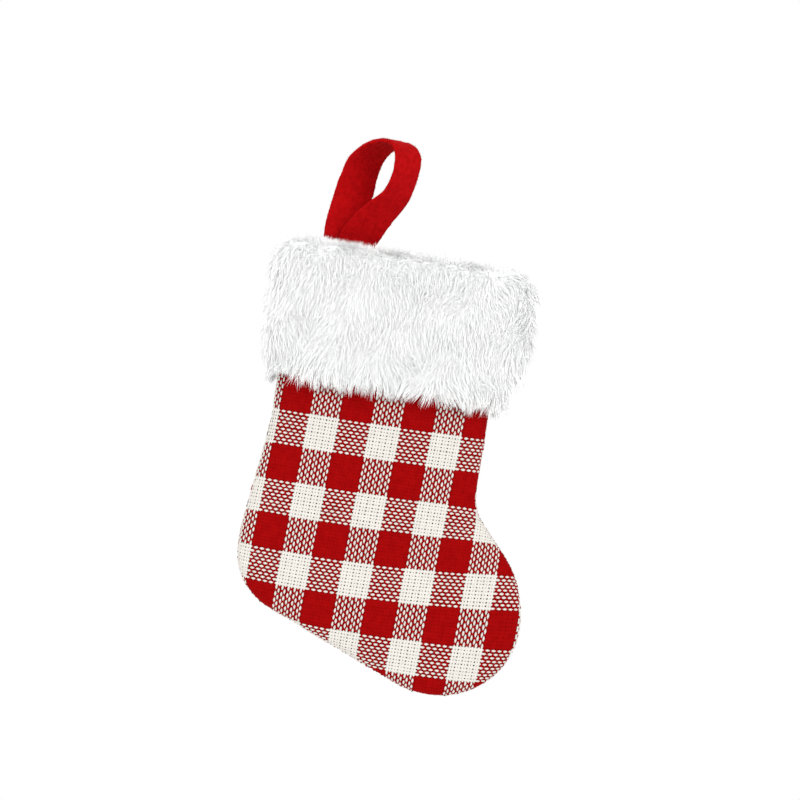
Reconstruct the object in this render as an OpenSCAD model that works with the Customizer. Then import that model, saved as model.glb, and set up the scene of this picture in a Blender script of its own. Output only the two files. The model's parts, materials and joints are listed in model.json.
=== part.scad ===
// Small hanging stocking: a woven check leg and foot, a plush cuff folded over the rim and a felt loop.
// Millimetres. The origin is the spot inside the top of the loop where a hook bears, +Z is up,
// +X points to the toe side and +Y to the back. The stocking hangs below with its natural lean.

/* [Hanging] */
// Lean of the stocking, since its weight lies on the toe side of the loop
lean = 9; // [0:0.5:15]

/* [Leg and foot] */
// Width of the leg between its side seams
leg_w = 70.6; // [67:0.1:74]
// Depth of the back of the heel below the rim
heel_depth = 102.5; // [95:0.5:110]
// How much further out the heel reaches than the leg above it
heel_kick = 4.2; // [2:0.1:7]
// Radius of the heel
heel_r = 21; // [18:0.1:25]
// Depth below the rim at which the instep starts to curve out
instep_depth = 74; // [68:0.5:80]
// Radius of the curve from the leg into the instep
instep_r = 14; // [10:0.5:20]
// Slope of the instep, measured from the leg's front edge
instep_turn = 41; // [35:0.1:48]
// Fall of the sole from the heel towards the toe
sole_fall = 21.4; // [18:0.1:26]
// Toe side of the leg to the tip of the toe
toe_reach = 21; // [16:0.1:26]
// Length of the oval toe, from its centre to the tip
toe_len = 27; // [24:0.1:31]
// Height of the oval toe above its centre
toe_rise = 32; // [28:0.1:36]
// Height of the oval toe below its centre
toe_drop = 25.6; // [23:0.1:29]
// Depth of the toe's centre below the rim
toe_depth = 116.5; // [112:0.5:122]
// Half thickness of the opened leg under the cuff
mouth_bulge = 9.5; // [9:0.1:11]
// Half thickness of the ankle and the foot
foot_bulge = 7; // [5:0.1:8.5]
// Thickness of the woven cloth
cloth_t = 0.9; // [0.6:0.1:1]
// Width of the turned-in seam allowance
allowance = 5; // [3:0.5:6]

/* [Cuff] */
// Width of the cuff between its side seams, with its pile
cuff_w = 88; // [84:0.5:96]
// Height of the cuff's outer flap
cuff_h = 44.5; // [38:0.5:50]
// How far the cuff's middle stands towards the toe side
cuff_shift = 1; // [0:0.1:2]
// Thickness of the outer flap in the middle, with its pile
flap_t = 5.4; // [4:0.1:7]
// Thickness of the facing inside the mouth
facing_t = 2.3; // [1.5:0.1:2.8]
// Depth of the facing inside the mouth
facing_h = 12; // [8:0.5:16]
// Width of the facing
facing_w = 62; // [56:0.5:63]
// Radius of the cuff's upper corners
cuff_corner = 9; // [5:0.5:12]

/* [Loop] */
// Width of the felt strip
strip_w = 12.5; // [10:0.1:14]
// Thickness of the felt strip
strip_t = 1.5; // [1:0.1:2]
// Radius of the round top of the loop
loop_r = 8.8; // [7.5:0.1:10]
// Height of the loop's top above its fold
loop_h = 33.2; // [30:0.1:40]
// Place of the loop's fold across the mouth, from the middle of the leg
loop_x = -17.8; // [-24:0.1:-14]
// Height of the loop's fold above the rim
fold_h = 2; // [2:0.1:4]
// Lean of the loop towards the toe side, against the leg
loop_lean = 15; // [10:0.5:20]
// Turn of the loop's plane away from straight back
loop_turn = 42; // [30:1:50]
// Depth of the sewn ends inside the mouth
ends_h = 11; // [8:0.5:12]

/* [Thread] */
// Diameter of the sewing thread
thread_d = 0.4; // [0.3:0.05:0.4]
// Number of stitches in the bar tack
tack_stitches = 6; // [4:1:8]

/* [Hidden] */

// Colours of the pieces
check_colour = [0.70, 0.08, 0.09];
plush_colour = [0.95, 0.96, 0.97];
felt_colour = [0.76, 0.02, 0.04];
thread_colour = [0.90, 0.88, 0.84];

seam_gap = 0.25;             // each half stays this far from the seam plane
leg_half = leg_w / 2;
panel_top = 3;               // the cloth ends this far below the rim
kick_start = 56;             // depth at which the leg starts to widen to the heel
bulge_power = 0.7;           // below 1 flattens the middle of the leg's section
n_leg = 22;                  // rows of the loft in each stretch
n_heel = 10;
n_sole = 8;
n_toe = 12;
n_straight = 16;             // rows of the leg stretch above the instep's curve
n_rows = n_leg + n_heel + n_sole + n_toe;
n_across = 16;               // steps across the leg
tip_angle = 4;               // half angle of the oval left for the last seam at the tip
toe_top_angle = 45;          // where the instep meets the oval
toe_mid_angle = 20;          // where the chords turn to face the tip

heel_c = [heel_r - leg_half - heel_kick, -heel_depth];
toe_c = [leg_half + toe_reach - toe_len, -toe_depth];
sole_angle = 180 + atan(toe_drop / (toe_len * tan(sole_fall)));
instep_c = [leg_half + instep_r, -instep_depth];

function mix(a, b, t) = a + (b - a) * t;
function smooth(t) = let (c = min(1, max(0, t))) c * c * (3 - 2 * c);
function on_heel(a) = heel_c + heel_r * [cos(a), sin(a)];
function on_toe(a) = toe_c + [toe_len * cos(a), (sin(a) < 0 ? toe_drop : toe_rise) * sin(a)];
function on_instep(a) = instep_c + instep_r * [cos(a), sin(a)];

// Depth of a row of the leg, from the cloth's top edge down to d
function leg_row(i, n, d) = mix(panel_top, d, i / n);

// The outline in two halves with the same number of points, from the mouth to the tip of the toe
heel_side = concat(
    [for (i = [0:n_leg - 1]) let (d = leg_row(i, n_leg, heel_depth))
        [-leg_half - heel_kick * smooth((d - kick_start) / (heel_depth - kick_start)), -d]],
    [for (i = [0:n_heel - 1]) on_heel(mix(180, 270 - sole_fall, i / n_heel))],
    [for (i = [0:n_sole - 1]) mix(on_heel(270 - sole_fall), on_toe(sole_angle), i / n_sole)],
    [for (i = [0:n_toe]) on_toe(mix(sole_angle, 360 - tip_angle, i / n_toe))]
);
toe_side = concat(
    [for (i = [0:n_straight - 1]) [leg_half, -leg_row(i, n_straight, instep_depth)]],
    [for (i = [0:n_leg - n_straight - 1])
        on_instep(180 + instep_turn * i / (n_leg - n_straight))],
    [for (i = [0:n_heel - 1]) mix(on_instep(180 + instep_turn), on_toe(toe_top_angle), i / n_heel)],
    [for (i = [0:n_sole - 1]) on_toe(mix(toe_top_angle, toe_mid_angle, i / n_sole))],
    [for (i = [0:n_toe]) on_toe(mix(toe_mid_angle, tip_angle, i / n_toe))]
);

// Half thickness of the stocking on a row: full under the cuff, slimmer at the foot, none at the tip
full_chord = 45;
function row_bulge(i) =
    let (chord = norm(toe_side[i] - heel_side[i]), depth = -heel_side[i].y)
    mix(mouth_bulge, foot_bulge, smooth((depth - cuff_h) / (heel_depth - cuff_h)))
        * pow(min(1, chord / full_chord), bulge_power);

// Side faces of a loft whose rings are bands: k points along one side, then k back along the other
function band_faces(rings, k) =
    let (n = 2 * k, last = (rings - 1) * n)
    concat(
        [for (i = [0:rings - 2]) for (j = [0:n - 1]) for (half = [0, 1])
            let (a = i * n + j, b = i * n + (j + 1) % n)
            half == 0 ? [a, b, b + n] : [a, b + n, a + n]],
        [for (j = [0:k - 2]) for (half = [0, 1])
            let (a = j, b = j + 1, c = n - 2 - j, d = n - 1 - j)
            half == 0 ? [c, b, a] : [d, c, a]],
        [for (j = [0:k - 2]) for (half = [0, 1])
            let (a = last + j, b = last + j + 1, c = last + n - 2 - j, d = last + n - 1 - j)
            half == 0 ? [a, b, c] : [a, c, d]]
    );

function flat(rings) = [for (ring = rings) for (p = ring) p];

module band_loft(rings) {
    polyhedron(points = flat(rings), faces = band_faces(len(rings), len(rings[0]) / 2), convexity = 6);
}

// A thread along a path that stays level with the plane square to ref
thread_sides = 8;
function thread_ring(path, i, ref) =
    let (
        ahead = path[min(i + 1, len(path) - 1)] - path[max(i - 1, 0)],
        side = cross(ahead, ref) / norm(cross(ahead, ref))
    )
    [for (s = [0:thread_sides - 1]) let (a = 360 * s / thread_sides)
        path[i] + thread_d / 2 * (cos(a) * side + sin(a) * ref)];

module thread(path, ref) {
    band_loft([for (i = [0:len(path) - 1]) thread_ring(path, i, ref)]);
}

// Everything is laid out from the rim's middle, then hung from the inside of the loop's top
loop_top = [loop_x + loop_h * tan(loop_lean), 0, fold_h + loop_h - strip_t / 2];
module hung() {
    rotate([0, lean, 0]) translate(-loop_top) children();
}

// One row of a panel: the cloth's outside, then back along its inside with the allowances
function panel_ring(i) =
    let (
        p = heel_side[i],
        q = toe_side[i],
        chord = norm(q - p),
        u = (q - p) / chord,
        bulge = row_bulge(i),
        taper = pow(min(1, chord / full_chord), 2),
        lip = 0.5 * taper,
        tuck = allowance * taper,
        turn = cloth_t + 0.3 * taper,
        outside = [for (j = [0:n_across]) let (a = 180 * j / n_across)
            [p + u * chord * (1 - cos(a)) / 2, seam_gap + bulge * pow(sin(a), bulge_power)]],
        inside = [for (j = [1:n_across - 1]) let (a = 180 * j / n_across)
            [p + u * (cloth_t + (chord - 2 * cloth_t) * (1 - cos(a)) / 2),
             seam_gap + max(0.3, bulge - cloth_t) * pow(sin(a), bulge_power)]],
        outer = concat([[p + u * tuck, seam_gap]], outside, [[q - u * tuck, seam_gap]]),
        inner = concat([[p + u * tuck, seam_gap + lip], [p + u * turn, seam_gap + lip]], inside,
                       [[q - u * turn, seam_gap + lip], [q - u * tuck, seam_gap + lip]])
    )
    [for (s = concat(outer, reverse(inner))) [s[0].x, -s[1], s[0].y]];

function reverse(list) = [for (i = [len(list) - 1:-1:0]) list[i]];

module panel() {
    band_loft([for (i = [0:n_rows]) panel_ring(i)]);
}

module front_panel() {
    color(check_colour) hung() panel();
}

module back_panel() {
    color(check_colour) hung() mirror([0, 1, 0]) panel();
}

// The side seam runs between the allowances, just inside the folded edges
seam_inset = 1.5;
function inset_point(i, from, to) =
    let (chord = norm(to[i] - from[i]), p = from[i] + (to[i] - from[i]) * seam_inset / chord)
    [p.x, 0, p.y];
module side_seam_thread() {
    down = [for (i = [0:n_rows - 1]) inset_point(i, heel_side, toe_side)];
    up = [for (i = [n_rows - 1:-1:0]) inset_point(i, toe_side, heel_side)];
    color(thread_colour) hung() thread(concat(down, up), [0, 1, 0]);
}

// Faces of the leg under the cuff, at x across it
function leg_section(x, half, bulge) =
    seam_gap + bulge * pow(max(0, 1 - pow(x / half, 2)), bulge_power / 2);
flap_clear = 0.4;
flap_half = leg_half + 1.8;
function flap_inner(x) = leg_section(x, flap_half, mouth_bulge) + flap_clear;
facing_clear = 0.5;
function facing_outer(x) = leg_section(x, leg_half - cloth_t, mouth_bulge - cloth_t) - facing_clear;
function mouth_face(x) = max(seam_gap, facing_outer(x) - facing_t);

// Outside of the cuff at c from -1 at the heel side to 1 at the toe side
cuff_half_w = cuff_w / 2;
edge_t = 1.4;
function flap_outer(c) =
    seam_gap + edge_t
    + (mouth_bulge + flap_t + flap_clear - edge_t) * pow(max(0, 1 - pow(abs(c), 2.4)), 0.5);

// The cuff narrows a little towards its lower edge
lower_taper = 3.5;
function cuff_x(c, z) = cuff_shift + c * (cuff_half_w - lower_taper * pow(max(0, -z / cuff_h - 0.5) * 2, 2));
function corner_drop(c) =
    let (over = max(0, abs(c) * cuff_half_w - (cuff_half_w - cuff_corner)))
    cuff_corner - sqrt(pow(cuff_corner, 2) - pow(over, 2));
function cuff_z(c, z) = -corner_drop(c) + z * (cuff_h - corner_drop(c)) / cuff_h;

rim_r = 6;
rim_in = 2.2;
hem_r = 3;
function flap_ring(c) =
    let (
        out = flap_outer(c),
        x0 = cuff_x(c, 0),
        in = mouth_face(x0),
        mid = (out + in) / 2,
        cloth = flap_inner(x0),
        outer = concat(
            [for (a = [0:30:90]) [mix(cloth, out, 0.5 + 0.5 * sin(a)), -cuff_h + hem_r * (1 - cos(a))]],
            [for (f = [0.75, 0.5, 0.25]) [out, -f * cuff_h]],
            [for (a = [0:22.5:90]) [mid + (out - mid) * cos(a), rim_r * (sin(a) - 1)]],
            [for (a = [60, 30, 0]) [mid - (mid - in) * cos(a), rim_in * (sin(a) - 1)]]
        ),
        steps = len(outer) - 3,
        inner = concat(
            [for (i = [0:steps]) let (z = mix(-cuff_h, -rim_in, i / steps))
                [flap_inner(cuff_x(c, z)), z]],
            [for (f = [0.4, 0.8]) [mix(cloth, in, f), -rim_in]]
        )
    )
    [for (s = concat(outer, reverse(inner))) [cuff_x(c, s[1]), -s[0], cuff_z(c, s[1])]];

facing_bite = 0.6;
function facing_ring(x) =
    let (top = -rim_in + facing_bite, out = facing_outer(x), in = mouth_face(x))
    [[x, -out, -facing_h], [x, -out, top], [x, -in, top], [x, -in, -facing_h]];

cuff_steps = 28;
facing_steps = 16;
module cuff() {
    band_loft([for (i = [0:cuff_steps]) flap_ring(-cos(180 * i / cuff_steps))]);
    band_loft([for (i = [0:facing_steps]) facing_ring(facing_w * (i / facing_steps - 0.5))]);
}

module cuff_front() {
    color(plush_colour) hung() cuff();
}

module cuff_back() {
    color(plush_colour) hung() mirror([0, 1, 0]) cuff();
}

// Cuff seams run down between the two halves, outside the leg
cuff_seam_x = leg_half + 4;
cuff_seam_low = cuff_h - 3;
cuff_seam_high = 5;
module cuff_seam(side) {
    thread([for (d = [cuff_seam_high:(cuff_seam_low - cuff_seam_high) / 12:cuff_seam_low])
        [side * cuff_seam_x + cuff_shift, 0, -d]], [0, 1, 0]);
}

module cuff_heel_seam_thread() {
    color(thread_colour) hung() cuff_seam(-1);
}

module cuff_toe_seam_thread() {
    color(thread_colour) hung() cuff_seam(1);
}

// The facing's seam lies between the facing and the cloth
mouth_seam_depth = 8;
module mouth_seam() {
    half = facing_w / 2 - 2;
    thread([for (x = [-half:half / 15:half]) [x, -facing_outer(x) - facing_clear / 2, -mouth_seam_depth]],
           [0, 0, 1]);
}

module mouth_seam_thread_front() {
    color(thread_colour) hung() mouth_seam();
}

module mouth_seam_thread_back() {
    color(thread_colour) hung() mirror([0, 1, 0]) mouth_seam();
}

// Middle line of the loop at s from 0 at the rear end to 1 at the front end, as [out, up] from the fold:
// two straight legs and a round top that they run into
strip_base = 1.8;
loop_c = loop_h - loop_r;
leg_spread = asin(loop_r / loop_c);
leg_run = loop_c * cos(leg_spread);
arc_turn = 180 + 2 * leg_spread;
arc_run = PI * loop_r * arc_turn / 180;
loop_run = 2 * leg_run + arc_run;
function loop_line(s) =
    let (run = s * loop_run)
    run < leg_run ? run * [sin(leg_spread), cos(leg_spread)]
    : run > loop_run - leg_run ? (loop_run - run) * [-sin(leg_spread), cos(leg_spread)]
    : let (a = (run - leg_run) / arc_run * arc_turn - leg_spread)
        [loop_r * cos(a), loop_c + loop_r * sin(a)];

// The two ends lie on each other at the fold, so each stands off the middle by half a thickness
function stand_off(s) = (s < 0.5 ? 1 : -1) * (strip_t / 2 + 0.05) * pow(abs(cos(180 * s)), 6);
function loop_point(s) =
    let (l = loop_line(s), out = l[0])
    [loop_x - out * sin(loop_turn) + l[1] * tan(loop_lean) - end_fan * cos(180 * s) / 2,
     out * cos(loop_turn) + stand_off(s), fold_h + l[1]];

// The strip faces the front nearly squarely where it is sewn, and turns away into the loop
end_fan = 6;
sewn_turn = 10;
front_turn_run = 0.22;
function strip_turn(s) =
    mix(sewn_turn, loop_turn, min(smooth(2 * s), smooth((1 - s) / front_turn_run)));
function loop_ring(s) =
    let (
        d = 0.002,
        t = loop_point(s + d) - loop_point(s - d),
        along = t / norm(t),
        level = [cos(strip_turn(s)), sin(strip_turn(s)), 0],
        square = level - (level * along) * along,
        across = square / norm(square),
        face = cross(along, across)
    )
    [for (c = [[-1, 1], [1, 1], [1, -1], [-1, -1]])
        loop_point(s) + c[0] * across * strip_w / 2 + c[1] * face * strip_t / 2];

loop_steps = 48;
module hanging_loop() {
    start = strip_base / loop_run;
    color(felt_colour) hung()
        band_loft([for (i = [0:loop_steps]) loop_ring(mix(start, 1 - start, i / loop_steps))]);
}

// The ends reach down from the fold to the back facing
ends_top = -0.6;
ends_reach = 2;
module strip_end(x, y) {
    steps = 6;
    band_loft([for (i = [0:steps]) let (
            z = mix(ends_top, -ends_h, i / steps),
            lay = y + ends_reach * smooth(i / steps)
        )
        [[x - strip_w / 2, lay - strip_t / 2, z], [x + strip_w / 2, lay - strip_t / 2, z],
         [x + strip_w / 2, lay + strip_t / 2, z], [x - strip_w / 2, lay + strip_t / 2, z]]]);
}

module loop_ends() {
    color(felt_colour) hung() {
        strip_end(loop_x - end_fan / 2, strip_t / 2 + 0.05);
        strip_end(loop_x + end_fan / 2, -strip_t / 2 - 0.05);
    }
}

// A short row of stitches through both ends, into the back facing
tack_w = 7;
tack_depth = 8.5;
tack_front = 0.2;
tack_back = 5.5;
module loop_bar_tack() {
    color(thread_colour) hung() translate([loop_x, 0, -tack_depth]) {
        for (i = [0:tack_stitches - 1])
            translate([tack_w * (i / (tack_stitches - 1) - 0.5), tack_front, 0])
                rotate([-90, 0, 0]) cylinder(h = tack_back - tack_front, d = thread_d, $fn = 16);
        translate([-tack_w / 2 - thread_d, tack_front, 0])
            rotate([0, 90, 0]) cylinder(h = tack_w + 2 * thread_d, d = 2 * thread_d, $fn = 24);
    }
}

front_panel();
back_panel();
side_seam_thread();
cuff_front();
cuff_back();
cuff_heel_seam_thread();
cuff_toe_seam_thread();
mouth_seam_thread_front();
mouth_seam_thread_back();
hanging_loop();
loop_ends();
loop_bar_tack();
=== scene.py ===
import json
import math

import bpy
import numpy as np
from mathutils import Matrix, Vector
from mathutils.bvhtree import BVHTree


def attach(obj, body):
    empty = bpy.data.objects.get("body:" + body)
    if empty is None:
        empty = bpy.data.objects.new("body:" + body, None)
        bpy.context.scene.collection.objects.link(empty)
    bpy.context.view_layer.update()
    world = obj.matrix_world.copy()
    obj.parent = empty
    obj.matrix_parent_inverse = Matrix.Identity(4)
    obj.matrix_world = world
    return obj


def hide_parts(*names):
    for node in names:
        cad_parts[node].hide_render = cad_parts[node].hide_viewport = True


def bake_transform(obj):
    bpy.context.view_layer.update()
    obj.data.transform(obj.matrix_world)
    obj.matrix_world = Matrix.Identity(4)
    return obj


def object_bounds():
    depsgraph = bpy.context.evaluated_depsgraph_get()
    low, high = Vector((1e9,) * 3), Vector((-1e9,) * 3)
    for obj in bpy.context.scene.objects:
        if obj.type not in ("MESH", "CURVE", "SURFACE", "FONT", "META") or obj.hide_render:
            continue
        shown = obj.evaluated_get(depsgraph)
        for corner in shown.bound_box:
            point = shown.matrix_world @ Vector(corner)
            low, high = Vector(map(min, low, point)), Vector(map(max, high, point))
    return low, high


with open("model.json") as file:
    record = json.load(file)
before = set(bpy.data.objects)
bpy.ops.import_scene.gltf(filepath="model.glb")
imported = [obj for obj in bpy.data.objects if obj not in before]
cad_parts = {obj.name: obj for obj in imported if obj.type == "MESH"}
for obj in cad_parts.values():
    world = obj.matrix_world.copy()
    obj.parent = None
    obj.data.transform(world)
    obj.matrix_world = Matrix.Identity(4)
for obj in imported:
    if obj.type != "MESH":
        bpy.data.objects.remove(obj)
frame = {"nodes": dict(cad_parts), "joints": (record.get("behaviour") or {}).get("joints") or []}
cad_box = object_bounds()

# Shapes are worked out in millimetres in the stocking's own upright frame: the origin is the middle of the
# rim, +X points to the toe side, +Y to the back and +Z up. to_row() then leans them as the frame's joint says.
MM = 0.001
FRONT, BACK = -1, 1
SEED = 11

# Leg and foot
LEG_W = 70.6
HEEL_DEPTH, HEEL_KICK, HEEL_R, KICK_START = 102.5, 4.2, 21.0, 56.0
INSTEP_DEPTH, INSTEP_R, INSTEP_TURN = 74.0, 14.0, 41.0
SOLE_FALL = 21.4
TOE_REACH, TOE_LEN, TOE_RISE, TOE_DROP, TOE_DEPTH = 21.0, 27.0, 32.0, 25.6, 116.5
TOE_TOP_ANGLE, TOE_MID_ANGLE, TIP_ANGLE = 45.0, 20.0, 4.0
MOUTH_BULGE, FOOT_BULGE, FULL_CHORD, BULGE_POWER = 9.5, 7.0, 45.0, 0.7
SEAM_GAP, PANEL_TOP, CLOTH_T = 0.25, 3.0, 0.9
LEG_HALF = LEG_W / 2

# Cuff
CUFF_W, CUFF_H, CUFF_SHIFT, FLAP_T, FLAP_EDGE_T, FLAP_CLEAR = 88.0, 44.5, 1.0, 5.4, 1.4, 0.4
FLAP_POWER, FLAP_SLACK = 2.4, 1.8
FACING_H = 12.0

# Loop
LOOP_X, FOLD_H, STRIP_W, STRIP_T = -17.8, 2.0, 12.5, 1.5
LOOP_R, LOOP_H, LOOP_LEAN, LOOP_TURN, SEWN_TURN = 8.8, 33.2, 15.0, 42.0, 10.0
ENDS_H, ENDS_REACH, END_FAN, END_SHIFT = 11.0, 2.0, 5.2, -1.0
STRIP_TURN, REAR_TURN_FROM, REAR_TURN_RUN, FRONT_TURN_RUN = 50.0, 0.12, 0.43, 0.28
FACE_GAP, FACE_GAP_POWER = 0.05, 6
# where the strip bellies out towards the toe side: how far, and the middle and spread of it along the loop
BELLIES = ((0.7, 0.27, 0.13), (2.1, 0.79, 0.085))

joint = next(j for j in frame["joints"] if j["name"] == "stocking_swing")
lean = math.atan2(-joint["axis"][2], joint["axis"][0])
hinge_row = np.array(joint["pos_m"])
hinge_own = np.array([LOOP_X, 0.0, FOLD_H])
TURN = np.array([
    [math.cos(lean), 0, math.sin(lean)],
    [0, 1, 0],
    [-math.sin(lean), 0, math.cos(lean)],
])


def to_row(points):
    """Points of the stocking's own frame, in millimetres, as points of the row frame, in metres."""
    return (np.asarray(points, float) - hinge_own) * MM @ TURN.T + hinge_row


def to_own(points):
    """The other way round."""
    return (np.asarray(points, float) - hinge_row) @ TURN / MM + hinge_own


def smooth(t):
    t = np.clip(t, 0, 1)
    return t * t * (3 - 2 * t)


def unit(v):
    return v / np.maximum(np.linalg.norm(v, axis=-1, keepdims=True), 1e-9)


def ripple(p, size, seed, waves=6):
    """Smooth noise from about -1 to 1 at the points p, with features of about the given size."""
    rng = np.random.default_rng(seed)
    total = np.zeros(len(p))
    for _ in range(waves):
        k = unit(rng.normal(size=p.shape[1])) * 2 * math.pi / size * rng.uniform(0.6, 1.4)
        total += np.sin(p @ k + rng.uniform(0, 2 * math.pi))
    return total / math.sqrt(waves)


def new_piece(name, points, faces, materials, face_material=None):
    """A smooth-shaded mesh piece from points in the stocking's own frame and arrays of faces with equal corners."""
    mesh = bpy.data.meshes.new(name)
    corners = np.concatenate([f.ravel() for f in faces]).astype(np.int32)
    sizes = np.concatenate([np.full(len(f), f.shape[1]) for f in faces])
    mesh.vertices.add(len(points))
    mesh.vertices.foreach_set("co", to_row(points).astype(np.float32).ravel())
    mesh.loops.add(len(corners))
    mesh.loops.foreach_set("vertex_index", corners)
    mesh.polygons.add(len(sizes))
    mesh.polygons.foreach_set("loop_start", (np.cumsum(sizes) - sizes).astype(np.int32))
    if face_material is not None:
        mesh.polygons.foreach_set("material_index", face_material.astype(np.int32))
    mesh.update(calc_edges=True)
    mesh.validate()
    mesh.shade_smooth()
    for material in materials:
        mesh.materials.append(material)
    piece = bpy.data.objects.new(name, mesh)
    bpy.context.scene.collection.objects.link(piece)
    return piece


def tube_faces(rings, sides, start=0):
    """Faces of a closed tube of rings with that many corners: its sides, then its two end caps."""
    k = np.arange(sides)
    row = np.arange(rings - 1)[:, None] * sides
    a, b = row + k, row + (k + 1) % sides
    walls = np.stack([a, b, b + sides, a + sides], -1).reshape(-1, 4) + start
    caps = np.array([k[::-1], k + (rings - 1) * sides]) + start
    return walls, caps


# ---------------------------------------------------------------------------------------------- materials


def fabric(name, light, dark, spot, roughness=0.9, sheen=0, bump=0, grain=0.0003, specular=0.05):
    """A matt fibre material: two tones mixed by soft spots of a size in metres, and a fine fibrous grain."""
    material = bpy.data.materials.new(name)
    material.use_nodes = True
    nodes, links = material.node_tree.nodes, material.node_tree.links
    shader = nodes["Principled BSDF"]
    shader.inputs["Roughness"].default_value = roughness
    shader.inputs["Sheen Weight"].default_value = sheen
    shader.inputs["Sheen Roughness"].default_value = 0.6
    shader.inputs["Specular IOR Level"].default_value = specular
    place = nodes.new("ShaderNodeTexCoord")
    spots = nodes.new("ShaderNodeTexNoise")
    spots.inputs["Scale"].default_value = 1 / spot
    spots.inputs["Detail"].default_value = 3
    tones = nodes.new("ShaderNodeValToRGB")
    tones.color_ramp.elements[0].position = 0.35
    tones.color_ramp.elements[0].color = (*dark, 1)
    tones.color_ramp.elements[1].position = 0.65
    tones.color_ramp.elements[1].color = (*light, 1)
    links.new(place.outputs["Object"], spots.inputs["Vector"])
    links.new(spots.outputs["Fac"], tones.inputs["Fac"])
    links.new(tones.outputs["Color"], shader.inputs["Base Color"])
    if bump:
        fibres = nodes.new("ShaderNodeTexNoise")
        fibres.inputs["Scale"].default_value = 1 / grain
        fibres.inputs["Detail"].default_value = 4
        relief = nodes.new("ShaderNodeBump")
        relief.inputs["Strength"].default_value = 0.5
        relief.inputs["Distance"].default_value = bump
        links.new(place.outputs["Object"], fibres.inputs["Vector"])
        links.new(fibres.outputs["Fac"], relief.inputs["Height"])
        links.new(relief.outputs["Normal"], shader.inputs["Normal"])
    return material


red_yarn = fabric(
    "red_yarn", light=(0.262, 0.0017, 0.002), dark=(0.225, 0.0012, 0.0016), spot=0.0021, bump=0.0001, specular=0.02,
)
ivory_yarn = fabric(
    "ivory_yarn", light=(0.60, 0.575, 0.53), dark=(0.56, 0.535, 0.495), spot=0.0021, bump=0.0001, specular=0.1,
)
plush = fabric("plush", light=(0.985, 0.99, 0.985), dark=(0.97, 0.98, 0.975), spot=0.006, specular=0.1)
felt = fabric(
    "felt", light=(0.36, 0.003, 0.004), dark=(0.29, 0.002, 0.003), spot=0.0016, roughness=0.95,
    bump=0.0003, grain=0.0005, specular=0.02,
)
thread = fabric(
    "thread", light=(0.84, 0.81, 0.74), dark=(0.70, 0.67, 0.60), spot=0.0005, roughness=0.7, sheen=0.1,
    bump=0.00005, grain=0.0002, specular=0.3,
)


# ------------------------------------------------------------------------------------------- woven panels


def arc(centre, radii, start, end, count, last=False):
    a = np.radians(np.linspace(start, end, count + 1)[: count + 1 if last else count])
    return np.array(centre) + np.stack([radii[0] * np.cos(a), radii[1] * np.sin(a)], 1)


def line(a, b, count):
    t = np.linspace(0, 1, count + 1)[:-1, None]
    return np.array(a) * (1 - t) + np.array(b) * t


def outline_sides(steps):
    """The heel side and toe side of the outline, from the cloth's top edge to the toe's tip, 52 * steps + 1 points
    each."""
    heel_c = (HEEL_R - LEG_HALF - HEEL_KICK, -HEEL_DEPTH)
    toe_c = np.array([LEG_HALF + TOE_REACH - TOE_LEN, -TOE_DEPTH])
    instep_c = (LEG_HALF + INSTEP_R, -INSTEP_DEPTH)
    sole_angle = 180 + math.degrees(math.atan(TOE_DROP / (TOE_LEN * math.tan(math.radians(SOLE_FALL)))))
    depth = np.linspace(PANEL_TOP, HEEL_DEPTH, 22 * steps + 1)[:-1]
    kick = HEEL_KICK * smooth((depth - KICK_START) / (HEEL_DEPTH - KICK_START))
    heel_run = arc(heel_c, (HEEL_R, HEEL_R), 180, 270 - SOLE_FALL, 10 * steps, last=True)
    low_toe = arc(toe_c, (TOE_LEN, TOE_DROP), sole_angle, 360 - TIP_ANGLE, 12 * steps, last=True)
    heel = np.concatenate([
        np.stack([-LEG_HALF - kick, -depth], 1), heel_run[:-1],
        line(heel_run[-1], low_toe[0], 8 * steps), low_toe,
    ])
    depth = np.linspace(PANEL_TOP, INSTEP_DEPTH, 16 * steps + 1)[:-1]
    instep = arc(instep_c, (INSTEP_R, INSTEP_R), 180, 180 + INSTEP_TURN, 6 * steps, last=True)
    high_toe = arc(toe_c, (TOE_LEN, TOE_RISE), TOE_TOP_ANGLE, TOE_MID_ANGLE, 8 * steps)
    tip = arc(toe_c, (TOE_LEN, TOE_RISE), TOE_MID_ANGLE, TIP_ANGLE, 12 * steps, last=True)
    toe = np.concatenate([
        np.stack([np.full(len(depth), LEG_HALF), -depth], 1), instep[:-1],
        line(instep[-1], high_toe[0], 10 * steps), high_toe, tip,
    ])
    return heel, toe


def row_bulge(heel, toe):
    """Half thickness of the stocking on each row: full under the cuff, slimmer at the foot, none at the tip."""
    chord = np.linalg.norm(toe - heel, axis=1)
    share = smooth((-heel[:, 1] - CUFF_H) / (HEEL_DEPTH - CUFF_H))
    return (MOUTH_BULGE + (FOOT_BULGE - MOUTH_BULGE) * share) * np.minimum(1, chord / FULL_CHORD) ** BULGE_POWER


SURFACE_STEPS, SURFACE_ACROSS = 4, 64


def cloth_surface():
    """The outside of one half of the stocking, facing -Y, as a tree for ray casts, and its outline."""
    heel, toe = outline_sides(SURFACE_STEPS)
    a = np.linspace(0, math.pi, SURFACE_ACROSS + 1)
    t = ((1 - np.cos(a)) / 2)[None, :, None]
    flat = heel[:, None] * (1 - t) + toe[:, None] * t
    rise = SEAM_GAP + row_bulge(heel, toe)[:, None] * np.sin(a)[None] ** BULGE_POWER
    points = np.stack([flat[..., 0], -rise, flat[..., 1]], -1).reshape(-1, 3)
    rows, across = len(heel), SURFACE_ACROSS + 1
    i = (np.arange(rows - 1)[:, None] * across + np.arange(across - 1)).ravel()
    quads = np.stack([i, i + across, i + across + 1, i + 1], 1)
    tree = BVHTree.FromPolygons(points.tolist(), quads.tolist())
    return tree, np.concatenate([heel, toe[::-1]])


TREE, OUTLINE = cloth_surface()

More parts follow.
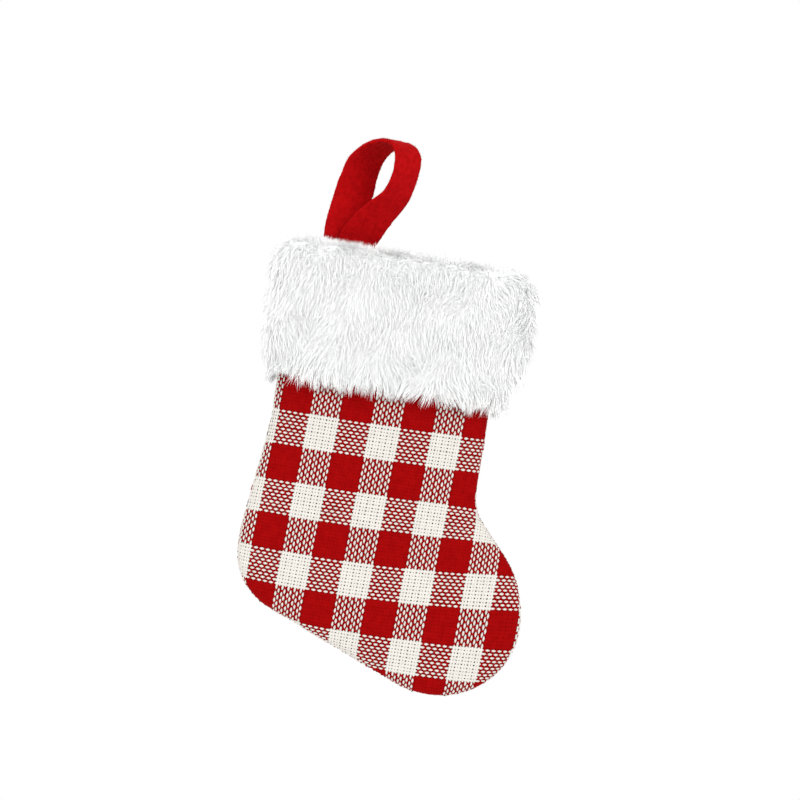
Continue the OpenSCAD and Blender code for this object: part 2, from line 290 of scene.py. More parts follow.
# How the cloth rolls over to the side seam: the distance over the cloth against the distance seen in front
roll_d = LEG_HALF * (1 - np.cos(np.linspace(0, math.pi / 2, 400)))
roll_y = FOOT_BULGE * (1 - (1 - roll_d / LEG_HALF) ** 2) ** (BULGE_POWER / 2)
roll_arc = np.concatenate([[0], np.cumsum(np.hypot(np.diff(roll_d), np.diff(roll_y)))])
EDGE_EXTRA = roll_arc[-1] - LEG_HALF
BATCH, ON_LINE = 4000, 0.05


def to_outline(p):
    """For flat points: the distance inside the outline, the nearest outline point and the way inwards."""
    a, b = OUTLINE, np.roll(OUTLINE, -1, 0)
    ab = b - a
    inner = unit(np.stack([-ab[:, 1], ab[:, 0]], 1))
    depth, foot, inward = np.empty(len(p)), np.empty_like(p), np.empty_like(p)
    for s in range(0, len(p), BATCH):
        q = p[s : s + BATCH]
        t = np.clip(((q[:, None] - a) * ab).sum(-1) / (ab**2).sum(-1), 0, 1)
        near = a + t[..., None] * ab
        gap = np.linalg.norm(q[:, None] - near, axis=-1)
        k = gap.argmin(1)
        r = np.arange(len(q))
        f, away = near[r, k], q - near[r, k]
        side = np.where((away * inner[k]).sum(-1) >= 0, 1.0, -1.0)
        depth[s : s + BATCH] = side * gap[r, k]
        foot[s : s + BATCH] = f
        clear = gap[r, k][:, None] > ON_LINE
        inward[s : s + BATCH] = np.where(clear, unit(away) * side[:, None], inner[k])
    return depth, foot, inward


TURN_UNDER, FAR_OUT = 1.4, 50


def on_cloth(p):
    """Flat points laid on the cloth of the front: whether each is on it, its place and its outward normal."""
    depth, foot, inward = to_outline(p)
    run = depth + EDGE_EXTRA
    seen = np.where(run < roll_arc[-1], np.interp(run, roll_arc, roll_d), depth)
    # past the seam line the cloth turns back in along the seam plane
    seen = np.where(run < 0, CLOTH_T / 2 - run, seen)
    flat = foot + inward * seen[:, None]
    place, normal = np.empty((len(p), 3)), np.empty((len(p), 3))
    ahead = Vector((0, 1, 0))
    for n, (x, z) in enumerate(flat):
        if run[n] < 0:
            place[n] = (x, -SEAM_GAP, z)
            normal[n] = (0, 1, 0)
            continue
        hit, out, _, _ = TREE.ray_cast(Vector((x, -FAR_OUT, z)), ahead)
        if hit is None:
            hit, out, _, _ = TREE.find_nearest(Vector((x, -SEAM_GAP, z)))
        out = out if out.y < 0 else -out
        place[n] = hit - out * (CLOTH_T / 2)
        normal[n] = out
    on = (run > -TURN_UNDER) & (p[:, 1] < -PANEL_TOP)
    return on, place, normal


# The check: 10 yarns wide and 10 deep, drawn a little out of square where it was sewn
YARNS = 10
WARP_PITCH, WEFT_PITCH = 1.0175, 1.145
CHECK_X, CHECK_Z = -23.1, -57.0
WARP_LEAN = 0.039
BOW_X, BOW, BOW_PEAK, BOW_PEAK_Z, BOW_SPREAD = -13.0, 0.0003, 0.0007, -106.0, 18.0
PAIR_SHIFT = 0.055
WARP_WIDTH, WEFT_WIDTH = 0.96, 1.06
RED_WIDTH, RED_WAIST, IVORY_WIDTH, IVORY_WAIST = 1.13, 0.05, 0.855, 0.12
# where ivory crosses red, the ivory yarn stands out in narrow pointed floats
FLOAT_WIDTH, FLOAT_WAIST, FLOAT_OUT, GROUND_WIDTH, GROUND_IN = 0.71, 0.28, 0.11, 1.13, 0.08
YARN_TOP, YARN_EDGE, WEAVE_RISE = 0.24, 0.10, 0.19
FLAT_SHARE, RED_ROLL, CREST_POWER = 0.5, 1.7, 0.75
# spun yarn is never quite even: shifts in pitches, and shares of the width
CENTRE_SHIFT, WIDTH_RANGE, UNEVEN, UNEVEN_RUN = 0.025, (0.96, 1.04), 0.05, 9
# yarns beyond the box of the outline, so that both panels are covered however their check is placed
SPARE_LEFT, SPARE_RIGHT, SPARE_UP, SPARE_DOWN = 4, 8, 6, 14
SAMPLES = 3
BACK_SHIFT = (4.6, 7.3)


def lattice(i, j, shift):
    """The flat place of warp yarn i where it crosses weft yarn j, both counted from the corner of a check."""
    z = CHECK_Z + shift[1] - WEFT_PITCH * j
    x = CHECK_X + shift[0] + WARP_PITCH * i + WARP_LEAN * (z - CHECK_Z)
    bow = BOW + BOW_PEAK * np.exp(-(((z - BOW_PEAK_Z) / BOW_SPREAD) ** 2))
    return np.stack([x, z + bow * (x - BOW_X) ** 2], 1)


def yarn_set(name, side, along_warp, shift):
    """All yarns of one direction of one panel, as closed tubes that pass over and under each other."""
    rng = np.random.default_rng(SEED + (1 if along_warp else 2) + (side + 1))
    lo, hi = OUTLINE.min(0) - EDGE_EXTRA, OUTLINE.max(0) + EDGE_EXTRA
    first_i = int((lo[0] - CHECK_X) / WARP_PITCH) - SPARE_LEFT
    last_i = int((hi[0] - CHECK_X) / WARP_PITCH) + SPARE_RIGHT
    first_j = int((CHECK_Z - hi[1]) / WEFT_PITCH) - SPARE_UP
    last_j = int((CHECK_Z - lo[1]) / WEFT_PITCH) + SPARE_DOWN
    reach_i, reach_j = (first_i, last_i), (first_j, last_j)
    reach, other = (reach_i, reach_j) if along_warp else (reach_j, reach_i)
    points, normals, walls, caps, tone_walls, tone_caps = [], [], [], [], [], []
    start = 0
    crossings = np.arange(other[0], other[1], 1 / SAMPLES) + 1 / (2 * SAMPLES)
    for n in range(*reach):
        ivory = (n // YARNS) % 2 == 0
        centre = n + 0.5 + rng.normal(0, CENTRE_SHIFT)
        if along_warp:
            centre += PAIR_SHIFT * (1 if n % 2 == 0 else -1)
        own = np.full(len(crossings), centre)
        flat = lattice(own, crossings, shift) if along_warp else lattice(crossings, own, shift)
        on, place, normal = on_cloth(flat)
        swing = np.cos(math.pi * (crossings - 0.5)) * (1 if n % 2 == 0 else -1) * (1 if along_warp else -1)
        swing = np.sign(swing) * np.abs(swing) ** CREST_POWER
        mixed = ((np.floor(crossings) // YARNS) % 2 == 0) != ivory
        full = WARP_WIDTH if along_warp else WEFT_WIDTH
        wide = np.where(mixed, FLOAT_WIDTH if ivory else GROUND_WIDTH, IVORY_WIDTH if ivory else RED_WIDTH)
        waist = np.where(mixed & ivory, FLOAT_WAIST, IVORY_WAIST if ivory else RED_WAIST)
        uneven = 1 + UNEVEN * ripple(crossings[:, None], UNEVEN_RUN, rng.integers(1 << 30))
        half_width = full * wide / 2 * rng.uniform(*WIDTH_RANGE) * uneven * (1 - waist + waist * swing)
        relief = np.where(mixed, 1, FLAT_SHARE)
        rise = relief * WEAVE_RISE * swing + mixed * (FLOAT_OUT if ivory else -GROUND_IN)
        for run in np.split(np.arange(len(on)), np.flatnonzero(np.diff(on.astype(int))) + 1):
            if not on[run[0]] or len(run) < 2 * SAMPLES:
                continue
            c = place[run] + normal[run] * rise[run][:, None]
            t = unit(np.gradient(c, axis=0))
            across = unit(np.cross(t, normal[run]))
            out = np.cross(across, t)
            half = half_width[run][:, None]
            thick = relief[run][:, None]
            low = c - out * thick * YARN_EDGE
            ring = np.stack([low - across * half, c + out * thick * YARN_TOP, low + across * half], 1)
            points.append(ring.reshape(-1, 3))
            roll = across * thick * (1 if ivory else RED_ROLL)
            normals.append(np.stack([out - roll, out, out + roll], 1).reshape(-1, 3))
            w, k = tube_faces(len(run), 3, start)
            start += 3 * len(run)
            walls.append(w)
            caps.append(k)
            tone_walls.append(np.full(len(w), 0 if ivory else 1))
            tone_caps.append(np.full(len(k), 0 if ivory else 1))
    points, normals = np.concatenate(points), np.concatenate(normals)
    walls, caps = np.concatenate(walls), np.concatenate(caps)
    if side == BACK:
        points[:, 1] *= -1
        normals[:, 1] *= -1
        walls, caps = walls[:, ::-1], caps[:, ::-1]
    tones = np.concatenate(tone_walls + tone_caps)
    piece = new_piece(name, points, [walls, caps], [ivory_yarn, red_yarn], tones)
    piece.data.normals_split_custom_set_from_vertices((unit(normals) @ TURN.T).tolist())
    return piece


for side, name, shift in ((FRONT, "front", (0.0, 0.0)), (BACK, "back", BACK_SHIFT)):
    warp = yarn_set(f"{name}_panel_warp", side, True, shift)
    weft = yarn_set(f"{name}_panel_weft", side, False, shift)
    for yarns in (warp, weft):
        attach(yarns, "stocking")
    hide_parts(f"{name}_panel")


# --------------------------------------------------------------------------------------------------- cuff


def flap_outer(c):
    rise = MOUTH_BULGE + FLAP_T + FLAP_CLEAR - FLAP_EDGE_T
    return SEAM_GAP + FLAP_EDGE_T + rise * np.maximum(0, 1 - np.abs(c) ** FLAP_POWER) ** 0.5


def flap_inner(x):
    rise = np.maximum(0, 1 - (x / (LEG_HALF + FLAP_SLACK)) ** 2) ** (BULGE_POWER / 2)
    return SEAM_GAP + FLAP_CLEAR + MOUTH_BULGE * rise


def across_cuff(x):
    """The place across the cuff, from -1 at its heel side to 1 at its toe side."""
    return (x - CUFF_SHIFT) / (CUFF_W / 2)


def near_rim(z, start, run):
    """0 below the start, measured down from the rim, and 1 after the run upwards."""
    return smooth((z + start) / run)


def near_hem(z, start, run):
    """0 above the start, measured up from the cuff's lower edge, and 1 after the run downwards."""
    return smooth((-z - CUFF_H + start) / run)


PILE_DEPTH, LEAST_OUT = 1.3, 0.1
VOXEL, EASE_SHARE, EASE_ROUNDS = 1.3, 0.5, 6
LUMP, LUMP_SIZE = 0.3, 20
RIM_BAND, RIM_SHARE, HEM_BAND, HEM_LIFT = 9, 0.8, 6, 0.6
TOE_CORNER_FALL, TOE_CORNER_FALL_FROM, TOE_CORNER_IN, TOE_CORNER_IN_FROM, TOE_CORNER_BAND = 1.6, 0.6, 1.8, 0.5, 16


def plush_body(name, node, side):
    """The dense ground of the pile: the CAD half cuff, rounded, and drawn in by the pile that stands on it."""
    copy = frame["nodes"][node].copy()
    copy.data = copy.data.copy()
    copy.parent = None
    for key in list(copy.keys()):
        del copy[key]
    bpy.context.scene.collection.objects.link(copy)
    remesh = copy.modifiers.new("round", "REMESH")
    remesh.mode = "VOXEL"
    remesh.voxel_size = VOXEL * MM
    ease = copy.modifiers.new("ease", "SMOOTH")
    ease.factor, ease.iterations = EASE_SHARE, EASE_ROUNDS
    graph = bpy.context.evaluated_depsgraph_get()
    mesh = bpy.data.meshes.new_from_object(copy.evaluated_get(graph))
    bpy.data.objects.remove(copy)
    p = np.empty(len(mesh.vertices) * 3, np.float32)
    mesh.vertices.foreach_get("co", p)
    p = to_own(p.reshape(-1, 3))
    faces = np.array([f.vertices[:] for f in mesh.polygons])
    bpy.data.meshes.remove(mesh)
    c = np.clip(across_cuff(p[:, 0]), -1, 1)
    out = np.abs(p[:, 1])
    inner, outer = flap_inner(p[:, 0]), flap_outer(c)
    share = np.clip((out - inner) / np.maximum(outer - inner, 1), 0, 1)
    rim = near_rim(p[:, 2], RIM_BAND, RIM_BAND)
    lumps = LUMP * ripple(p, LUMP_SIZE, SEED)
    p[:, 1] = side * np.maximum(LEAST_OUT, out - (PILE_DEPTH - lumps) * share)
    p[:, 2] -= PILE_DEPTH * RIM_SHARE * rim
    p[:, 0] -= PILE_DEPTH * c * np.abs(c) ** 3
    p[:, 2] += HEM_LIFT * near_hem(p[:, 2], HEM_BAND, HEM_BAND)
    # the corners at the toe side are softer than the others
    p[:, 2] -= TOE_CORNER_FALL * smooth((c - TOE_CORNER_FALL_FROM) / (1 - TOE_CORNER_FALL_FROM)) * rim
    drawn_in = smooth((c - TOE_CORNER_IN_FROM) / (1 - TOE_CORNER_IN_FROM))
    p[:, 0] -= TOE_CORNER_IN * drawn_in * near_hem(p[:, 2], TOE_CORNER_BAND, TOE_CORNER_BAND)
    piece = new_piece(name, p, [faces], [plush])
    puff(piece)
    return piece


PUFF_PRESSURE, PUFF_STEPS, PUFF_CAP = 4, 20, 0.7


def puff(piece):
    """Lets air pressure round the padded body by cloth simulation, moving no point further than the cap."""
    scene = bpy.context.scene
    cloth = piece.modifiers.new("puff", "CLOTH")
    cloth.settings.use_pressure = True
    cloth.settings.uniform_pressure_force = PUFF_PRESSURE
    cloth.settings.effector_weights.gravity = 0
    cloth.point_cache.frame_start, cloth.point_cache.frame_end = 1, PUFF_STEPS
    for step in range(1, PUFF_STEPS + 1):
        scene.frame_set(step)
    count = len(piece.data.vertices)
    rest, puffed = np.empty(count * 3, np.float32), np.empty(count * 3, np.float32)
    piece.data.vertices.foreach_get("co", rest)
    piece.evaluated_get(bpy.context.evaluated_depsgraph_get()).data.vertices.foreach_get("co", puffed)
    piece.modifiers.remove(cloth)
    scene.frame_set(1)
    move = (puffed - rest).reshape(-1, 3)
    far = np.linalg.norm(move, axis=1, keepdims=True)
    move *= np.minimum(1, PUFF_CAP * MM / np.maximum(far, 1e-9))
    piece.data.vertices.foreach_set("co", (rest.reshape(-1, 3) + move).ravel())
    piece.data.update()


def root_points(piece, count, rng):
    """Evenly spread points on a piece, with their smooth normals, in the stocking's own frame."""
    mesh = piece.data
    mesh.calc_loop_triangles()
    tri = np.empty(len(mesh.loop_triangles) * 3, np.int32)
    mesh.loop_triangles.foreach_get("vertices", tri)
    tri = tri.reshape(-1, 3)
    co, no = np.empty(len(mesh.vertices) * 3, np.float32), np.empty(len(mesh.vertices) * 3, np.float32)
    mesh.vertices.foreach_get("co", co)
    mesh.vertex_normals.foreach_get("vector", no)
    co, no = to_own(co.reshape(-1, 3)), no.reshape(-1, 3) @ TURN
    a, b, c = co[tri[:, 0]], co[tri[:, 1]], co[tri[:, 2]]
    area = np.linalg.norm(np.cross(b - a, c - a), axis=1)
    pick = rng.choice(len(tri), count, p=area / area.sum())
    u, v = rng.random(count), rng.random(count)
    u, v = np.where(u + v > 1, 1 - u, u)[:, None], np.where(u + v > 1, 1 - v, v)[:, None]
    t = tri[pick]
    place = a[pick] * (1 - u - v) + b[pick] * u + c[pick] * v
    normal = unit(no[t[:, 0]] * (1 - u - v) + no[t[:, 1]] * u + no[t[:, 2]] * v)
    return place, normal


MID_SHARE = 0.8


def strands(root, tip, radius, rng, mid=None):
    """Closed three-sided hairs from root to tip, by way of mid if there is one: their points and their faces."""
    n = len(root)
    side = unit(np.cross(unit(tip - root), rng.normal(size=(n, 3))))
    other = np.cross(unit(tip - root), side)
    rings = [(root, radius)] if mid is None else [(root, radius), (mid, radius * MID_SHARE)]
    corners = []
    for centre, r in rings:
        for k in range(3):
            a = 2 * math.pi * k / 3
            corners.append(centre + (side * math.cos(a) + other * math.sin(a)) * r[:, None])
    points = np.stack([*corners, tip], 1).reshape(-1, 3)
    base, top = np.arange(n)[:, None] * (len(corners) + 1), len(corners) - 3
    ends = [base + [top + k, top + (k + 1) % 3, top + 3] for k in range(3)] + [base + [2, 1, 0]]
    walls = [base + [k, (k + 1) % 3, 3 + (k + 1) % 3, 3 + k] for k in range(3)]
    return points, [np.concatenate(part) for part in ([ends] if mid is None else [walls, ends])]


HAIRS, CLUMPS, FUZZ = 19900, 1500, 49500
HAIR_LENGTH, HAIR_RADIUS = 5.4, 0.10
FUZZ_LENGTH, FUZZ_RADIUS = 2.6, 0.08
HAIR_RANGE, FUZZ_RANGE, RADIUS_RANGE, ROOT_DEPTH = (0.7, 1.12), (0.6, 1.2), (0.7, 1.2), 0.3
# where roots are kept: how far the surface turns away, and how far out, down and across they may be
OUTER_TURN, OUTER_SLACK, EDGE_TURN, EDGE_FROM, RIM_DEPTH = -0.25, 0.8, -0.7, 0.88, 5
INSIDE_TURN, INSIDE_OUT, INSIDE_DEPTH, INSIDE_TO, INSIDE_SHARE = -0.4, 9, FACING_H + 1, 0.75, 0.5
# the bands in which hairs rise to the rim, and in which hairs and tufts hang free at the fringe
RISE_FROM, RISE_BAND, FRINGE_BAND, TUFT_FROM, TUFT_BAND = 5.5, 5, 8, 12, 9
SWAY, SWAY_SIZES, HAIR_SPREAD, FUZZ_SPREAD = 0.42, (17, 15, 13), 0.24, 0.3
# how far the comb stands off: on the flap, on the rim besides, and at the fringe besides
STAND, RIM_STAND, FRINGE_STAND, LIE = 0.16, 0.6, 0.12, 0.95
SEAM_PILE, SEAM_FROM, SEAM_BAND, SEAM_OUT, SEAM_OVER = 2.2, 0.8, 0.15, 0.35, 0.8
PULL_RANGE, PULL_LEAST, TUFT_WIDTH = (0.3, 0.7), 0.2, 0.35
RIM_SHORTER, INSIDE_HAIR, INSIDE_FUZZ, FRINGE_LONGER = 0.45, 0.45, 0.6, 0.2
BOW_OUT, SAG, FUZZ_STAND = 0.09, 0.05, 0.15
PILE_FACE, OWN_SHARE = 0.5, 0.06
DOWN = np.array([0, 0, -1.0])


def pile_roots(body, count, side, rng):
    """Roots spread over what shows of a half cuff: its outside, its rim, its side edges and its facing."""
    root, normal = root_points(body, count * 3, rng)
    out, turned = np.abs(root[:, 1]), normal[:, 1] * side
    c = across_cuff(root[:, 0])
    outer = (turned > OUTER_TURN) & (out > flap_inner(root[:, 0]) - OUTER_SLACK)
    edge = (np.abs(c) > EDGE_FROM) & (turned > EDGE_TURN)
    inside = (turned < INSIDE_TURN) & (out < INSIDE_OUT) & (root[:, 2] > -INSIDE_DEPTH) & (np.abs(c) < INSIDE_TO)
    keep = outer | edge | (root[:, 2] > -RIM_DEPTH) | (inside & (rng.random(len(root)) < INSIDE_SHARE))
    return root[keep][:count], normal[keep][:count], inside[keep][:count]


def combed(root, normal, seed, spread, rng):
    """The way each hair lies: down the flap, up and out on the rim, in soft swirls."""
    upright = near_rim(root[:, 2], RISE_FROM, RISE_BAND)[:, None]
    sway = np.stack([ripple(root, size, seed + 1 + n) for n, size in enumerate(SWAY_SIZES)], 1)
    fringe = near_hem(root[:, 2], FRINGE_BAND, FRINGE_BAND)[:, None]
    along = unit(DOWN - (normal @ DOWN)[:, None] * normal) * (1 - fringe) + DOWN * fringe
    sway -= (sway * normal).sum(1, keepdims=True) * normal
    stand = STAND + RIM_STAND * upright + FRINGE_STAND * fringe
    comb = normal * stand + along * (1 - upright) * LIE
    # the pile closes over the side seams
    c = across_cuff(root[:, 0])
    seam = np.exp(-((root[:, 1] / SEAM_PILE) ** 2)) * smooth((np.abs(c) - SEAM_FROM) / SEAM_BAND)
    comb += seam[:, None] * np.stack([SEAM_OUT * np.sign(c), -SEAM_OVER * np.sign(root[:, 1]), 0 * c], 1)
    return unit(comb + SWAY * sway + spread * rng.normal(size=root.shape)), upright[:, 0]


def soften(piece, normal, side, corners):
    """Lets the hairs of a piece take the light like the pile that they make up."""
    own = np.empty(len(piece.data.vertices) * 3, np.float32)
    piece.data.vertex_normals.foreach_get("vector", own)
    face = normal + [0, PILE_FACE * side, 0]
    shared = np.repeat(unit(face) @ TURN.T, corners, 0)
    piece.data.normals_split_custom_set_from_vertices(unit(shared + OWN_SHARE * own.reshape(-1, 3)).tolist())


def pile(name, body, side, seed):
    """The long hairs of a half cuff, drawn together in soft tufts."""
    rng = np.random.default_rng(seed)
    root, normal, inside = pile_roots(body, HAIRS, side, rng)
    n = len(root)
    comb, upright = combed(root, normal, seed, HAIR_SPREAD, rng)
    fringe = near_hem(root[:, 2], TUFT_FROM, TUFT_BAND)
    length = HAIR_LENGTH * rng.uniform(*HAIR_RANGE, n) * (1 - RIM_SHORTER * upright)
    length *= np.where(inside, INSIDE_HAIR, 1)
    tip = root + comb * (length * (1 + FRINGE_LONGER * fringe))[:, None]
    clump = rng.choice(n, CLUMPS, replace=False)
    nearest = np.empty(n, int)
    for s in range(0, n, BATCH):
        gap = np.linalg.norm(root[s : s + BATCH, None] - root[clump][None], axis=-1)
        nearest[s : s + BATCH] = gap.argmin(1)
    lead = clump[nearest]
    pull = (rng.uniform(*PULL_RANGE, n) * (PULL_LEAST + (1 - PULL_LEAST) * fringe))[:, None]
    tip = tip * (1 - pull) + (tip[lead] + (root - root[lead]) * TUFT_WIDTH) * pull
    mid = root + (tip - root) * 0.5 + normal * length[:, None] * BOW_OUT
    tip = tip + DOWN * (length * SAG * (1 - upright))[:, None]
    radius = HAIR_RADIUS * rng.uniform(*RADIUS_RANGE, n)
    points, faces = strands(root - normal * ROOT_DEPTH, tip, radius, rng, mid)
    piece = new_piece(name, points, faces, [plush])
    soften(piece, normal, side, 7)
    return piece


def fuzz(name, body, side, seed):
    """The short hairs between the long ones."""
    rng = np.random.default_rng(seed)
    root, normal, inside = pile_roots(body, FUZZ, side, rng)
    n = len(root)
    comb, _ = combed(root, normal, seed - 1, FUZZ_SPREAD, rng)
    length = FUZZ_LENGTH * rng.uniform(*FUZZ_RANGE, n) * np.where(inside, INSIDE_FUZZ, 1)
    tip = root + unit(comb + normal * FUZZ_STAND) * length[:, None]
    radius = FUZZ_RADIUS * rng.uniform(*RADIUS_RANGE, n)
    points, faces = strands(root - normal * ROOT_DEPTH, tip, radius, rng)
    piece = new_piece(name, points, faces, [plush])
    soften(piece, normal, side, 4)
    return piece


for side, name in ((FRONT, "front"), (BACK, "back")):
    body = plush_body(f"cuff_{name}_plush", f"cuff_{name}", side)
    hairs = pile(f"cuff_{name}_pile", body, side, SEED + 40 + side)
    short_hairs = fuzz(f"cuff_{name}_short_pile", body, side, SEED + 41 + side)
    for piece in (body, hairs, short_hairs):
        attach(piece, "stocking")
    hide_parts(f"cuff_{name}")


# --------------------------------------------------------------------------------------------------- loop

loop_c = LOOP_H - LOOP_R
leg_spread = math.asin(LOOP_R / loop_c)
leg_run = loop_c * math.cos(leg_spread)
arc_turn = math.pi + 2 * leg_spread
arc_run = LOOP_R * arc_turn
loop_run = 2 * leg_run + arc_run


def loop_line(s):
    """The loop's middle line in its own plane, at s from 0 at the rear end to 1 at the front end."""
    run = s * loop_run
    a = (run - leg_run) / arc_run * arc_turn - leg_spread
    out = np.where(run < leg_run, run * math.sin(leg_spread), LOOP_R * np.cos(a))
    up = np.where(run < leg_run, run * math.cos(leg_spread), loop_c + LOOP_R * np.sin(a))
    last = run > loop_run - leg_run
    out = np.where(last, -(loop_run - run) * math.sin(leg_spread), out)
    up = np.where(last, (loop_run - run) * math.cos(leg_spread), up)
    return out, up


def loop_point(s):
    out, up = loop_line(s)
    turn = math.radians(LOOP_TURN)
    closed_up = np.abs(np.cos(math.pi * s)) ** FACE_GAP_POWER
    stand_off = np.where(s < 0.5, 1, -1) * (STRIP_T / 2 + FACE_GAP) * closed_up
    ends = END_SHIFT * np.cos(math.pi * s) ** 2 - END_FAN * np.cos(math.pi * s) / 2
    bellies = sum(depth * np.exp(-(((s - at) / spread) ** 2)) for depth, at, spread in BELLIES)
    x = LOOP_X - out * math.sin(turn) + up * math.tan(math.radians(LOOP_LEAN)) + ends + bellies
    return np.stack([x, out * math.cos(turn) + stand_off, FOLD_H + up], 1)


LOOP_STATIONS, END_STATIONS, SECTION = 150, 26, 28
END_LAY_RUN, EASE_LINE = 1.15, 3
EDGE_ROUND, FACE_ROUND = 0.62, 0.34
CUT_WAVE, CUT_WAVE_RUN, FACE_WAVE, FACE_WAVE_SIZE, ROUGH = 0.012, 19, 0.07, 2.6, 0.05
FIBRES, FIBRE_REACH, FIBRE_RADIUS, FIBRE_ROOT = 5200, (0.25, 0.75), 0.028, 0.08
FROM_FACE, FROM_EDGE, FIBRE_STAND, FIBRE_SPREAD = 0.7, 0.5, 0.6, 0.7


def strip_line():
    """The whole felt strip's middle line, from one sewn end over the loop to the other, and its turn."""
    s = np.linspace(0, 1, LOOP_STATIONS)
    loop = loop_point(s)
    turned = np.minimum(smooth((s - REAR_TURN_FROM) / REAR_TURN_RUN), smooth((1 - s) / FRONT_TURN_RUN))
    turn = SEWN_TURN + (STRIP_TURN - SEWN_TURN) * turned
    t = np.linspace(0, 1, END_STATIONS, endpoint=False)
    z = -ENDS_H + (FOLD_H + ENDS_H) * t
    lay = ENDS_REACH * (1 - smooth(t * END_LAY_RUN))
    ends = []
    middle_x = LOOP_X + END_SHIFT
    stand_off = STRIP_T / 2 + FACE_GAP
    for x, y in ((middle_x - END_FAN / 2, stand_off), (middle_x + END_FAN / 2, -stand_off)):
        ends.append(np.stack([np.full(len(t), x), y + lay, z], 1))
    line_points = np.concatenate([ends[0], loop, ends[1][::-1]])
    end_turn = SEWN_TURN * smooth(t)
    turns = np.concatenate([end_turn, turn, end_turn[::-1]])
    for _ in range(EASE_LINE):
        line_points[1:-1] = (line_points[:-2] + 2 * line_points[1:-1] + line_points[2:]) / 4
    return line_points, turns


def felt_strip():
    """The felt strip with its loose fibres, and the length of its middle line."""
    rng = np.random.default_rng(SEED + 70)
    c, turns = strip_line()
    along = unit(np.gradient(c, axis=0))
    yaw = np.radians(turns)
    level = np.stack([np.cos(yaw), np.sin(yaw), np.zeros(len(yaw))], 1)
    across = unit(level - (level * along).sum(1, keepdims=True) * along)
    face = np.cross(along, across)
    a = np.linspace(0, 2 * math.pi, SECTION, endpoint=False) + math.pi / SECTION
    sx = np.sign(np.cos(a)) * np.abs(np.cos(a)) ** EDGE_ROUND
    sy = np.sign(np.sin(a)) * np.abs(np.sin(a)) ** FACE_ROUND
    n = len(c)
    cut = 1 + CUT_WAVE * ripple(np.arange(n)[:, None], CUT_WAVE_RUN, SEED + 71)[:, None]
    x = sx[None] * STRIP_W / 2 * cut
    y = np.repeat(sy[None] * STRIP_T / 2, n, 0)
    ring = c[:, None] + across[:, None] * x[..., None] + face[:, None] * y[..., None]
    points = ring.reshape(-1, 3)
    out = unit(points - np.repeat(c, SECTION, 0))
    squash_out = (face[:, None] * np.sign(y)[..., None]).reshape(-1, 3)
    points = points + squash_out * (FACE_WAVE * ripple(points, FACE_WAVE_SIZE, SEED + 72))[:, None]
    points = points + out * (ROUGH * rng.normal(size=len(points)))[:, None]
    walls, caps = tube_faces(n, SECTION)
    walls, caps = walls[:, ::-1], caps[:, ::-1]
    # loose fibres that stand off the felt
    k = rng.integers(0, len(points), FIBRES)
    root = points[k]
    normal = squash_out[k] * FROM_FACE + out[k] * FROM_EDGE
    reach = rng.uniform(*FIBRE_REACH, FIBRES)[:, None]
    lay = unit(normal * FIBRE_STAND + rng.normal(size=(FIBRES, 3)) * FIBRE_SPREAD)
    tip = root + lay * reach
    mid = root + lay * reach * 0.5 + normal * FIBRE_ROOT
    radius = np.full(FIBRES, FIBRE_RADIUS)
    hair_points, hair_faces = strands(root - normal * FIBRE_ROOT, tip, radius, rng, mid)
    start = len(points)
    return new_piece(
        "hanging_loop_strip", np.concatenate([points, hair_points]),
        [walls, caps, *[f + start for f in hair_faces]], [felt],
    ), np.linalg.norm(np.diff(c, axis=0), axis=1).sum()


strip, strip_length = felt_strip()
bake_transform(strip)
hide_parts("hanging_loop", "loop_ends")

# ------------------------------------------------------------------------------------------------ threads

for node in (
    "side_seam_thread", "cuff_heel_seam_thread", "cuff_toe_seam_thread", "mouth_seam_thread_front",
    "mouth_seam_thread_back", "loop_bar_tack",
):
    mesh = frame["nodes"][node].data
    mesh.materials.clear()
    mesh.materials.append(thread)

# ------------------------------------------------------------------------------------- camera and studio

FRAME_WIDTH, CAMERA_RUN, SENSOR = 0.2623, 2.0, 36.0
AIM_RIGHT, AIM_UP = 0.0042, 0.0055
box_lo, box_hi = cad_box
look_x = (box_lo.x + box_hi.x) / 2 + AIM_RIGHT
look_z = (box_lo.z + box_hi.z) / 2 + AIM_UP
camera_data = bpy.data.cameras.new("camera")
camera_data.sensor_width = SENSOR
camera_data.lens = SENSOR * CAMERA_RUN / FRAME_WIDTH
camera_data.clip_start, camera_data.clip_end = 0.05, 50
camera = bpy.data.objects.new("camera", camera_data)
camera.location = (look_x, -CAMERA_RUN, look_z)
camera.rotation_euler = (math.radians(90), 0, 0)
bpy.context.scene.collection.objects.link(camera)
bpy.context.scene.camera = camera


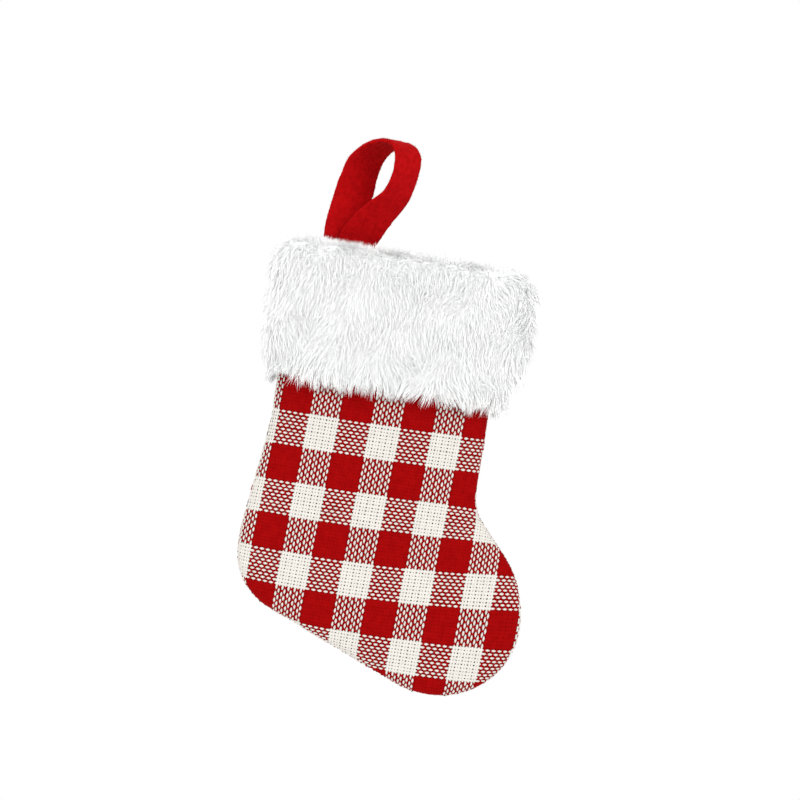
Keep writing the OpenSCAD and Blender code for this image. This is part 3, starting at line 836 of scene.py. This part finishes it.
def area_light(name, place, aim, size, power):
    data = bpy.data.lights.new(name, "AREA")
    data.shape, data.size, data.energy = "DISK", size, power
    light = bpy.data.objects.new(name, data)
    light.location = place
    light.rotation_euler = (Vector(aim) - Vector(place)).to_track_quat("-Z", "Y").to_euler()
    bpy.context.scene.collection.objects.link(light)


middle = ((box_lo.x + box_hi.x) / 2, 0, (box_lo.z + box_hi.z) / 2)
area_light("key", (1.0, -1.4, 0.8), middle, size=0.9, power=12)
area_light("fill", (-1.3, -1.2, 0.1), middle, size=1.2, power=7)
area_light("back", (-0.5, 1.4, 0.9), middle, size=1.0, power=12)

FLOOR_DROP, FLOOR_R, FLOOR_SIDES = 0.42, 5.2, 64
floor_mesh = bpy.data.meshes.new("floor")
corner_angles = [2 * math.pi * k / FLOOR_SIDES for k in range(FLOOR_SIDES)]
floor_z = box_lo.z - FLOOR_DROP
floor_mesh.from_pydata(
    [(FLOOR_R * math.cos(a), FLOOR_R * math.sin(a), floor_z) for a in corner_angles], [], [range(FLOOR_SIDES)]
)
floor = bpy.data.objects.new("floor", floor_mesh)
floor_mesh.materials.append(fabric("pale_floor", light=(0.90, 0.90, 0.90), dark=(0.88, 0.88, 0.88), spot=0.5))
bpy.context.scene.collection.objects.link(floor)

world = bpy.data.worlds.new("studio")
bpy.context.scene.world = world
world.use_nodes = True
w_nodes, w_links = world.node_tree.nodes, world.node_tree.links
seen_white, soft = w_nodes["Background"], w_nodes.new("ShaderNodeBackground")
soft.inputs["Strength"].default_value = 1.25
seen_white.inputs["Color"].default_value = (1, 1, 1, 1)
soft.inputs["Color"].default_value = (1, 1, 1, 1)
pick, path = w_nodes.new("ShaderNodeMixShader"), w_nodes.new("ShaderNodeLightPath")
w_links.new(path.outputs["Is Camera Ray"], pick.inputs["Fac"])
w_links.new(soft.outputs["Background"], pick.inputs[1])
w_links.new(seen_white.outputs["Background"], pick.inputs[2])
w_links.new(pick.outputs["Shader"], w_nodes["World Output"].inputs["Surface"])
bpy.context.scene.view_settings.view_transform = "Standard"
# white pile only looks white once light has passed between many hairs
bpy.context.scene.cycles.diffuse_bounces = 12
bpy.context.scene.cycles.max_bounces = 16
